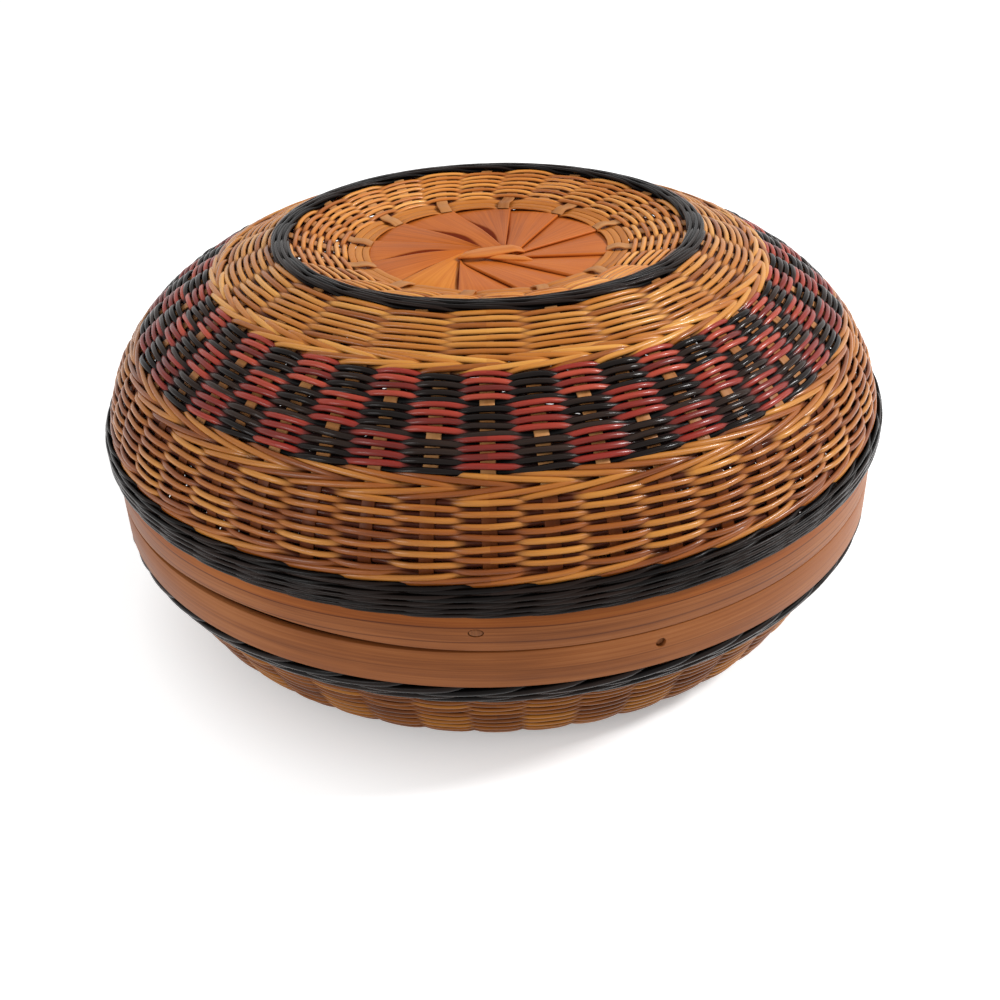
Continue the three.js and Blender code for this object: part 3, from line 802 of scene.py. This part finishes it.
NATURAL = rattan("rattan_recess", (92, 40, 10), (150, 78, 22), (206, 124, 46), (238, 168, 82))
GOLDEN = rattan("rattan_shoulder", (64, 24, 6), (130, 64, 14), (184, 110, 36), (222, 158, 74))
LOWER = rattan("rattan_side", (78, 30, 8), (102, 46, 12), (154, 84, 26), (198, 132, 56))
BELLY = rattan("rattan_belly", (64, 24, 6), (84, 38, 4), (128, 70, 12), (166, 104, 30),
               coat=0.05, specular=0.12)
BLACK = rattan("rattan_black", (4, 3, 3), (10, 7, 6), (18, 12, 10), (40, 28, 23),
               rough=(0.12, 0.28), coat=0, specular=0.09)
# The checker's black: a little glossier than the other black, and its colours a little lighter as
# painted sheen
BLACK_SHEEN = rattan("rattan_black_shiny", (4, 3, 3), (13, 8, 7), (23, 15, 12), (52, 37, 30),
                     rough=(0.1, 0.24), coat=0.02, specular=0.12)
RED = rattan("rattan_red", (30, 7, 5), (92, 21, 13), (142, 38, 25), (182, 74, 50))
STAKE = bamboo_strip("bamboo_stake", (132, 74, 34), (184, 124, 72), (214, 162, 108), shaded_low)
BLADE = bamboo_strip("bamboo_blade", (150, 72, 20), (190, 100, 34), (212, 126, 54))
GOLD = bamboo_strip("bamboo_gold", (156, 78, 14), (204, 114, 26), (226, 148, 54))
PALE = bamboo_strip("bamboo_pale", (182, 98, 36), (206, 124, 56), (224, 150, 82))
HOOP = bamboo_strip("bamboo_hoop", (102, 54, 26), (140, 82, 42), (166, 106, 62), grooved)
INNER = bamboo_strip("bamboo_inner", (58, 28, 12), (84, 44, 20), (108, 64, 34))
TRIM = bamboo_strip("cane_trim", (148, 80, 28), (190, 116, 48), (214, 146, 76))
PEG = bamboo_strip("bamboo_peg", (96, 54, 30), (132, 82, 48), (160, 108, 70))

# Stake lines
lid_line = StakeLine(LID_DISC, CREST, CREST_HANDLE, DOME_EDGE_HANDLE, DOME_EDGE,
                     SEAM + TIP_CLEARANCE, side=1)
base_line = StakeLine(BASE_DISC, FOOT, FOOT_HANDLE, BELLY_TOP_HANDLE, BELLY_TOP,
                      SEAM - TIP_CLEARANCE, side=-1)
at_crest = lid_line.mark_of(CREST)
at_dome_edge = lid_line.mark_of(DOME_EDGE)
at_foot = base_line.mark_of(FOOT)
at_belly_top = base_line.mark_of(BELLY_TOP)


# Splints

# What the splints of a half share. The stakes lean up to the mark bend, and are back on their line
# at lift_end. height is that of the disc. up is +1 where the seen side of the blades is the upper.
Half = namedtuple("Half", "name line bend added_from lift_end height up fan curls")


class Fan:
    """The exposed edges of the splints, straight lines. shifts say how many degrees each edge's end
    lies from its regular azimuth, and passes how far each passes the centre on its clockwise side."""

    def __init__(self, centre, shifts, passes):
        self.centre = np.array(centre, float)
        regular = FIRST_SPLINT - SPLINT_PITCH / 2 + np.arange(SPLINTS) * SPLINT_PITCH
        ends = regular + np.radians(shifts)
        tips = DISC_RADIUS * heading(ends) - self.centre
        passes = np.array(passes, float)
        leans = np.arctan2(tips[:, 1], tips[:, 0]) + np.arcsin(passes / np.linalg.norm(tips, axis=1))
        leans = np.unwrap(leans)
        self.leans = np.concatenate([leans, leans + TURN])
        self.passes = np.tile(passes, 2)

    def lines(self, numbers):
        """Starts and directions of the lines with the given numbers, which may lie between edges."""
        leans = np.interp(numbers, np.arange(2 * SPLINTS), self.leans)
        passes = np.interp(numbers, np.arange(2 * SPLINTS), self.passes)
        ahead = heading(leans)
        return self.centre + passes[:, None] * ahead[:, ::-1] * (1, -1), ahead

    def first_reach(self, number):
        """Where along its lines a splint gets wide enough to be seen."""
        passes, leans = np.diff(self.passes)[number], np.diff(self.leans)[number]
        return max(FAN_START, passes / leans + 1)


def add_sheet(skins, top, bottom, lengths, widths, number=0, worn=1):
    """A closed thin sheet between two grids of points. lengths and widths are its UVs."""
    rows, columns = top.shape[:2]
    vertices = np.concatenate([top.reshape(-1, 3), bottom.reshape(-1, 3)])
    shift = rows * columns
    a = np.arange(shift).reshape(rows, columns)
    upper = np.stack([a[:-1, :-1], a[:-1, 1:], a[1:, 1:], a[1:, :-1]], axis=-1).reshape(-1, 4)
    rim = np.concatenate([a[0], a[1:, -1], a[-1, -2::-1], a[-2:0:-1, 0]])
    following = np.roll(rim, -1)
    sides = np.stack([following, rim, rim + shift, following + shift], axis=-1)
    faces = np.concatenate([upper, upper[:, ::-1] + shift, sides])
    uvs = np.stack([lengths.ravel(), widths.ravel()], axis=1)[faces % shift]
    open_share = np.broadcast_to(worn, top.shape[:2]).ravel()
    skins.add(vertices, faces, uvs, number, np.tile(open_share, 2))


def add_blade(skins, half, number):
    """The fan blade of one splint. Its exposed edge rests on the blade before it. A painted shadow
    darkens it where the next blade's edge curls up over it."""
    curl, next_curl = half.curls[number], half.curls[(number + 1) % SPLINTS]
    tucked = 1 + TUCK * np.array([0.2, 0.6, 1])
    across = np.concatenate([np.linspace(0, 1, BLADE_COLUMNS), tucked])
    starts, ahead = half.fan.lines(number + across)
    rim = DISC_RADIUS + 1
    along = np.sum(starts * ahead, axis=1)
    far = -along + np.sqrt(along ** 2 + rim ** 2 - np.sum(starts ** 2, axis=1))
    near = half.fan.first_reach(number)
    reach = near + (far - near) * np.linspace(0, 1, BLADE_ROWS)[:, None]
    plan = starts + reach[:, :, None] * ahead
    seen = np.clip(across, 0, 1)
    crown = BLADE_CROWN * np.sin(np.pi * seen) * np.minimum(1, reach / CROWN_GROWTH)
    raised = CURL_RISE * curl * (1 - seen) ** CURL_SHARPNESS * bell(reach - CURL_MIDDLE, CURL_REACH)
    at_rim = np.clip((far - reach) / RIM_FADE, 0, 1)
    middle = half.height + LAYER_STEP * (0.5 - across) + half.up * (crown + raised) * at_rim
    rest = EDGE_REST * np.clip(1 - across / EDGE_REST_SHARE, 0, 1)
    top = np.dstack([plan, middle + BLADE_HALF])
    bottom = np.dstack([plan, middle - BLADE_HALF - rest])
    widths = np.broadcast_to(across * SPLINT_PITCH * DISC_RADIUS * BLADE_GRAIN * MM, reach.shape)
    # Painted shadow: a strip of the blade beside the next blade's curled edge is darkened
    shade = SHADOW_SHARE * next_curl * bell(reach - SHADOW_MIDDLE, CURL_REACH) - SHADOW_CUT
    worn = np.clip((1 - across - shade) / SHADOW_BLUR, 0, 1)
    add_sheet(skins, top, bottom, reach * MM, widths, worn=worn)


def add_tongue(skins, height, centre, direction, rows):
    """The end of the last splint, which lies over the eye and the other splints' ends. A row has
    the distance along the direction, both edges beside it, and the share of its full rise."""
    rows = np.array(rows, float)
    steps = np.linspace(0, len(rows) - 1, TONGUE_ROWS)
    along, left, right, rise = (np.interp(steps, np.arange(len(rows)), column) for column in rows.T)
    across = np.linspace(0, 1, TONGUE_COLUMNS)
    side = left[:, None] + (right - left)[:, None] * across
    reach = np.repeat(along[:, None], len(across), axis=1)
    crown = BLADE_CROWN * np.sin(np.pi * across)[None, :] * rise[:, None]
    over_all = LAYER_STEP / 2 + 2 * BLADE_HALF + TONGUE_CLEARANCE
    x = centre[0] + reach * math.cos(direction) - side * math.sin(direction)
    y = centre[1] + reach * math.sin(direction) + side * math.cos(direction)
    grid = np.dstack([x, y, height + rise[:, None] * over_all + crown])
    add_sheet(skins, grid + BLADE_UP, grid - BLADE_UP, reach * MM, side * MM, TONGUE_MATERIAL)


def add_inner_end(skins, half):
    """The last splint's other end, which runs on across the eye under all the others."""
    turns = np.linspace(0, TURN, 33)
    radii = np.linspace(INNER_END_RADIUS, 0.5, 6)[:, None]
    grid = around(radii, turns, half.height - LAYER_STEP * (0.5 + TUCK) - 3 * BLADE_HALF)
    grid[:, :, :2] += half.fan.centre
    add_sheet(skins, grid + BLADE_UP, grid - BLADE_UP, grid[:, :, 0] * MM, grid[:, :, 1] * MM)


def add_stake(skins, half, number, place, first_mark):
    """One stake, from its first mark to the end of its line. It leans up to the bend."""
    line_end = half.line.marks[-1]
    fine_end = first_mark + STAKE_FINE_LENGTH
    marks = np.array([*np.arange(first_mark, fine_end), *np.arange(fine_end, line_end, STAKE_STEP),
                      line_end])
    radius, _ = half.line.place(marks, 0)
    rise = np.clip((marks - LIFT_FROM) / LIFT_RISE, 0, 1)
    fall = np.clip((half.lift_end - marks) / LIFT_FALL, 0, 1)
    r, z = half.line.place(marks, STAKE_LIFT * np.minimum(rise, fall))
    seen = (place + 1.5) * STAKE_PITCH / SPLINT_PITCH
    z = z + LAYER_STEP * (0.5 - seen) * np.clip((LAYERS_END - radius) / LAYERS_FADE, 0, 1)
    if place == OVER_STRIPS:
        z = z + half.up * STRIP_CROSSING * bell(radius - CROSSING_RADIUS, CROSSING_REACH)
    turn = FIRST_SPLINT + number * SPLINT_PITCH
    azimuth = turn + (place + 0.5 + lean_at(marks, half.bend)) * STAKE_PITCH - SPLINT_PITCH / 2
    centres = around(r, azimuth, z)
    along = unit(np.gradient(centres, axis=0))
    across = unit(np.cross(np.cross(along, around(1.0, azimuth + np.pi / 2, 0.0)), along))
    section = rounded_box(STAKE_WIDTH * random.normal(1, STAKE_SPREAD), 2 * STAKE_HALF, STAKE_BEVEL)
    vertices, faces, uvs = sweep(centres, across, np.cross(along, across), section, closed=False)
    skins.add(vertices, faces, uvs * (1, STAKE_GRAIN), STAKE_MATERIAL)


def splint(half, number, bamboo, tongue):
    skins = Skins()
    add_blade(skins, half, number)
    if number + 1 == LAST_SPLINT:
        for finger in tongue:
            add_tongue(skins, half.height, *finger)
        add_inner_end(skins, half)
    for place in (OVER_STRIPS, UNDER_STRIPS):
        add_stake(skins, half, number, place, OWN_FROM)
    for place in ADDED_PLACES:
        add_stake(skins, half, number, place, half.added_from)
    name = f"{half.name}_splint_{number + 1:02d}"
    dress(skins.finish(name + "_bamboo", bamboo, STAKE, PALE), name)


def cane_strips(half, count):
    """Flat cane strips round the disc, over one stake and under the next."""
    skins = Skins()
    azimuth, _ = strand_turns()
    for strip in range(count):
        mark = STRIP_START + (strip + 0.5) * (STRIP_WIDTH + STRIP_GAP) + wobble(azimuth, STRIP_WANDER)
        place = (OVER_STRIPS + 0.5 + lean_at(mark, half.bend)) * STAKE_PITCH
        from_crossing = (azimuth - FIRST_SPLINT - place + SPLINT_PITCH) % SPLINT_PITCH - SPLINT_PITCH / 2
        offset = STRIP_RISE * (1 - bell(from_crossing, STRIP_DIP)) + STRIP_STEP * strip
        section = rounded_box(STRIP_WIDTH, STRIP_THICKNESS, STRIP_BEVEL)
        vertices, faces, uvs = closed_sweep(*half.line.ring(mark, offset, azimuth), section)
        skins.add(vertices, faces, uvs * (1, STRIP_GRAIN))
    dress(skins.finish(half.name + "_ring_strips", TRIM), half.name + "_cane_ring")


# Lid

LID_FAN = Fan((-1, -9), [0, 0, -1.5, -1.5, -1.5, -1.5, -4, -5, -2, 2, 3, 0],
              [10, 3, 6, 6, 9, 12, 15, 3, 6, 9, 12, 8.3])
LID_CURLS = [1.9, 1.8, 1.1, 2.2, 0.8, 0.3, 0.3, 0.2, 0.2, 0.2, 0.2, 0.3]
LID_TONGUE = (
    ((8, -16.5), math.radians(-15), [
        (12, -0.6, 0.6, 0.4), (8, -2.2, 2, 0.72), (2, -2.8, 2.8, 0.72), (-6, -2.5, 2.5, 0.72),
        (-12, -1.5, 1.5, 0.72)]),
    ((0.5, -11.5), math.radians(19), [
        (16, -3.2, 3.4, 0.5), (12, -4, 4.2, 1.2), (4, -4.8, 5.2, 1.2), (-4, -5.4, 5.6, 1.2),
        (-10, -4, 3.8, 1.2), (-14, -1.4, 1.2, 1), (-15.4, -0.4, 0.3, 0.8)]))
lid = Half("lid", lid_line, at_crest, added_from=at_crest + 26, lift_end=at_dome_edge + 6,
           height=LID_DISC, up=1, fan=LID_FAN, curls=LID_CURLS)
for number in range(SPLINTS):
    splint(lid, number, GOLD if number + 1 == GOLD_SPLINT else BLADE, LID_TONGUE)
cane_strips(lid, 3)

plain_weave("lid_recess_cane", "lid_recess_weave", NATURAL, lid_line, RECESS_START,
            at_crest - CREST_CORD_HALF, ROW_PITCH, RECESS_ROW, bend=at_crest)

crest = Skins()
for shift in CREST_SHIFTS:
    twined_row(crest, lid_line, at_crest + shift, **CREST_TWINE)
dress(crest.finish("lid_crest_cane", BLACK), "lid_crest_braid")

upper = Skins()
upper_end = at_crest + UPPER_END
checker_start = at_crest + CHECKER_START
for row, mark in enumerate(rows_between(at_crest + CREST_CORD_HALF, upper_end, UPPER_ROWS)):
    plain_row(upper, lid_line, mark, row, **UPPER_ROW)
for mark, slant in zip(rows_between(upper_end, checker_start, 2), (1, -1)):
    twined_row(upper, lid_line, mark, slant=slant, **UPPER_TWINE)
dress(upper.finish("lid_upper_cane", GOLDEN), "lid_upper_weave")

checker = Skins()
checker_end = at_crest + CHECKER_END
for row, mark in enumerate(rows_between(checker_start, checker_end, CHECKER_TIERS * ROWS_PER_TIER)):
    is_black = row % 2
    plain_row(checker, lid_line, mark, row // ROWS_PER_TIER + is_black, **CHECKER_ROW, number=is_black)
dress(checker.finish("lid_checker_cane", RED, BLACK_SHEEN), "lid_checker_weave")

lower = Skins()
lower_start = at_crest + LOWER_START
last_twist = at_crest + LAST_TWIST
for mark, slant in zip(rows_between(checker_end, lower_start, 2), (1, -1)):
    twined_row(lower, lid_line, mark, slant=slant, **LOWER_TWINE)
for row, mark in enumerate(rows_between(lower_start, last_twist, LOWER_ROWS)):
    plain_row(lower, lid_line, mark, row, **LOWER_ROW)
twined_row(lower, lid_line, (last_twist + at_dome_edge) / 2, **LAST_TWINE)
dress(lower.finish("lid_lower_cane", LOWER), "lid_lower_weave")

edge = Skins()
edge_end = at_dome_edge + DOME_EDGE[1] - (SEAM + HOOP_HEIGHT + SEAM_GAP)
for row, mark in enumerate(rows_between(at_dome_edge - EDGE_ABOVE, edge_end, EDGE_ROWS)):
    lift = EDGE_MIDDLE_LIFT if 0 < row < EDGE_ROWS - 1 else EDGE_OUTER_LIFT
    twined_row(edge, lid_line, mark, lift=lift, **EDGE_TWINE)
dress(edge.finish("lid_edge_cane", BLACK), "lid_edge_braid")


def seam_bow(azimuth):
    """The lid's hoop stands off the base's along one stretch of the front left."""
    off = (azimuth - BOW_AZIMUTH + np.pi) % TURN - np.pi
    return BOW_HEIGHT * bell(off, BOW_REACH)


lid_hoop = band("lid_hoop", "lid_outer_hoop", WALL_RADIUS + HOOP_GAP, HOOP_OUTER,
                SEAM + SEAM_GAP, SEAM + HOOP_HEIGHT, HOOP, low_rise=seam_bow)
lid_inner_low = SEAM + COLLAR_RISE + SLIDE_FIT
lid_inner_radius = WALL_RADIUS - HOOP_GAP - INNER_HOOP
lid_inner = band("lid_inner_band", "lid_inner_hoop", lid_inner_radius, lid_inner_radius + INNER_HOOP,
                 lid_inner_low, lid_inner_low + LID_INNER_HOOP_HEIGHT, INNER)

# Base

EYE_RADIUS = 8
BASE_FAN = Fan((0, 0), [0] * SPLINTS, [EYE_RADIUS] * SPLINTS)
BASE_TONGUE = ((BASE_FAN.centre, BASE_FAN.leans[LAST_SPLINT - 1], [
    (27, -7.2, 0.8, 0.05), (19, -7.6, -1.6, 0.75), (11, -8, -0.8, 1), (6.4, -8.8, 6.4, 1),
    (0, -9.2, 9.2, 1), (-6.4, -7.2, 7.2, 1), (-10, -2.8, 2.8, 1)]),)
base = Half("base", base_line, at_foot, added_from=at_foot - 2, lift_end=at_belly_top - 2,
            height=BASE_DISC, up=-1, fan=BASE_FAN, curls=random.uniform(0.2, 0.5, SPLINTS))
for number in range(SPLINTS):
    splint(base, number, BLADE, BASE_TONGUE)
cane_strips(base, 2)

plain_weave("base_floor_cane", "base_floor_weave", BELLY, base_line, FLOOR_START,
            at_foot - FOOT_CORD_HALF, FLOOR_PITCH, FLOOR_ROW, bend=at_foot)

foot = Skins()
add_cord(foot, **FOOT_CORD)
for shift in FOOT_SHIFTS:
    twined_row(foot, base_line, at_foot + shift, **FOOT_TWINE)
dress(foot.finish("base_foot_cord", BLACK), "base_foot_braid")

base_top = at_belly_top + SEAM - HOOP_HEIGHT - BELLY_TOP[1]
belly_end = base_top - BASE_EDGE_WIDTH
plain_weave("base_belly_cane", "base_belly_weave", BELLY, base_line, at_foot + FOOT_CORD_HALF,
            belly_end, ROW_PITCH, BELLY_ROW)

base_edge = Skins()
for mark in rows_between(belly_end, base_top, BASE_EDGE_ROWS):
    twined_row(base_edge, base_line, mark, **BASE_EDGE_TWINE)
dress(base_edge.finish("base_edge_cane", BLACK), "base_edge_braid")

base_hoop = band("base_hoop", "base_outer_hoop", WALL_RADIUS + HOOP_GAP, HOOP_OUTER,
                 SEAM - HOOP_HEIGHT, SEAM, HOOP)
collar_outer = WALL_RADIUS - BLADE_HALF - SLIDE_FIT
collar_inner = collar_outer - INNER_HOOP
collar = band("base_inner_band", "base_inner_hoop", collar_inner, collar_outer,
              SEAM - HOOP_HEIGHT, SEAM + COLLAR_RISE, INNER)

# Pegs in their holes

for hoop in (lid_hoop, lid_inner):
    drill(hoop, LID_PEGS)
for hoop in (base_hoop, collar):
    drill(hoop, BASE_PEGS)
add_pegs("lid", LID_PEGS, lid_inner_radius)
add_pegs("base", BASE_PEGS, collar_inner)

# Floor and background. The floor is white beside the basket, dark under it, and clear from below.

FLOOR_SIZE = 6
FLOOR_CORNERS = ((-1, -1), (1, -1), (1, 1), (-1, 1))
FLOOR_HEIGHT = -0.0004
FLOOR_TONE = 0.9
FLOOR_DARK_TO = 0.1
FLOOR_WHITE_FROM = 0.19
FLOOR_GLOW = 0.6
WORLD_LIGHT = 0.45
WHITE = (255, 255, 255)

plane = bpy.data.meshes.new("floor")
plane.from_pydata([(x * FLOOR_SIZE / 2, y * FLOOR_SIZE / 2, FLOOR_HEIGHT) for x, y in FLOOR_CORNERS], [],
                  [(0, 1, 2, 3)])
floor_plane = new_object("floor", plane)
nodes = Nodes(bpy.data.materials.new("floor_white"))
geometry = nodes.node("ShaderNodeNewGeometry").outputs
reach = nodes.node("ShaderNodeVectorMath", {0: geometry["Position"]}, operation="LENGTH")
glow = nodes.scaled(reach.outputs["Value"], 0, FLOOR_GLOW, FLOOR_DARK_TO, FLOOR_WHITE_FROM)
nodes.shader.inputs["Base Color"].default_value = (FLOOR_TONE, FLOOR_TONE, FLOOR_TONE, 1)
plane.materials.append(nodes.finish({
    "Roughness": 0.8,
    "Specular IOR Level": 0,
    "Emission Color": WHITE,
    "Emission Strength": nodes.math("MULTIPLY", nodes.seen_directly(), glow)}))
clear = nodes.node("ShaderNodeBsdfTransparent")
nodes.show("Material Output", geometry["Backfacing"], nodes.shader, clear)

nodes = Nodes(bpy.data.worlds.new("studio"), "Background")
bpy.context.scene.world = nodes.finish({"Color": WHITE, "Strength": WORLD_LIGHT})
white = nodes.node("ShaderNodeBackground", {"Color": WHITE, "Strength": 1})
nodes.show("World Output", nodes.seen_directly(), nodes.shader, white)


# Lamps and camera

def soft_light(name, place, aim, size, power):
    data = bpy.data.lights.new(name, "AREA")
    data.shape = "DISK"
    data.size = size
    data.energy = power
    made = new_object(name, data)
    made.location = place
    made.rotation_euler = (Vector(aim) - Vector(place)).to_track_quat("-Z", "Y").to_euler()


soft_light("key", place=(1.15, -0.15, 1.0), aim=(0, 0, 0.12), size=0.3, power=18)
soft_light("side", place=(-1.1, -0.9, 0.6), aim=(0, 0, 0.08), size=0.6, power=7)

CAMERA_PLACE = (0, -0.5255, 0.3575)
CAMERA_YAW = math.radians(-0.26)
CAMERA_PITCH = math.radians(29.59)
CAMERA_ROLL = math.radians(-1.85)
CAMERA_SHIFT = -0.05
SENSOR = 36
IMAGE_SIZE = 1000
FOCAL_PIXELS = 1175.82

camera_data = bpy.data.cameras.new("camera")
camera_data.sensor_width = SENSOR
camera_data.lens = SENSOR * FOCAL_PIXELS / IMAGE_SIZE
camera_data.shift_y = CAMERA_SHIFT
camera_data.clip_start = 0.01
camera = new_object("camera", camera_data)
camera.matrix_world = (Matrix.Translation(CAMERA_PLACE) @ Matrix.Rotation(CAMERA_YAW, 4, "Z")
                       @ Matrix.Rotation(math.pi / 2 - CAMERA_PITCH, 4, "X")
                       @ Matrix.Rotation(CAMERA_ROLL, 4, "Z"))
bpy.context.scene.camera = camera
bpy.context.scene.view_settings.view_transform = "Standard"
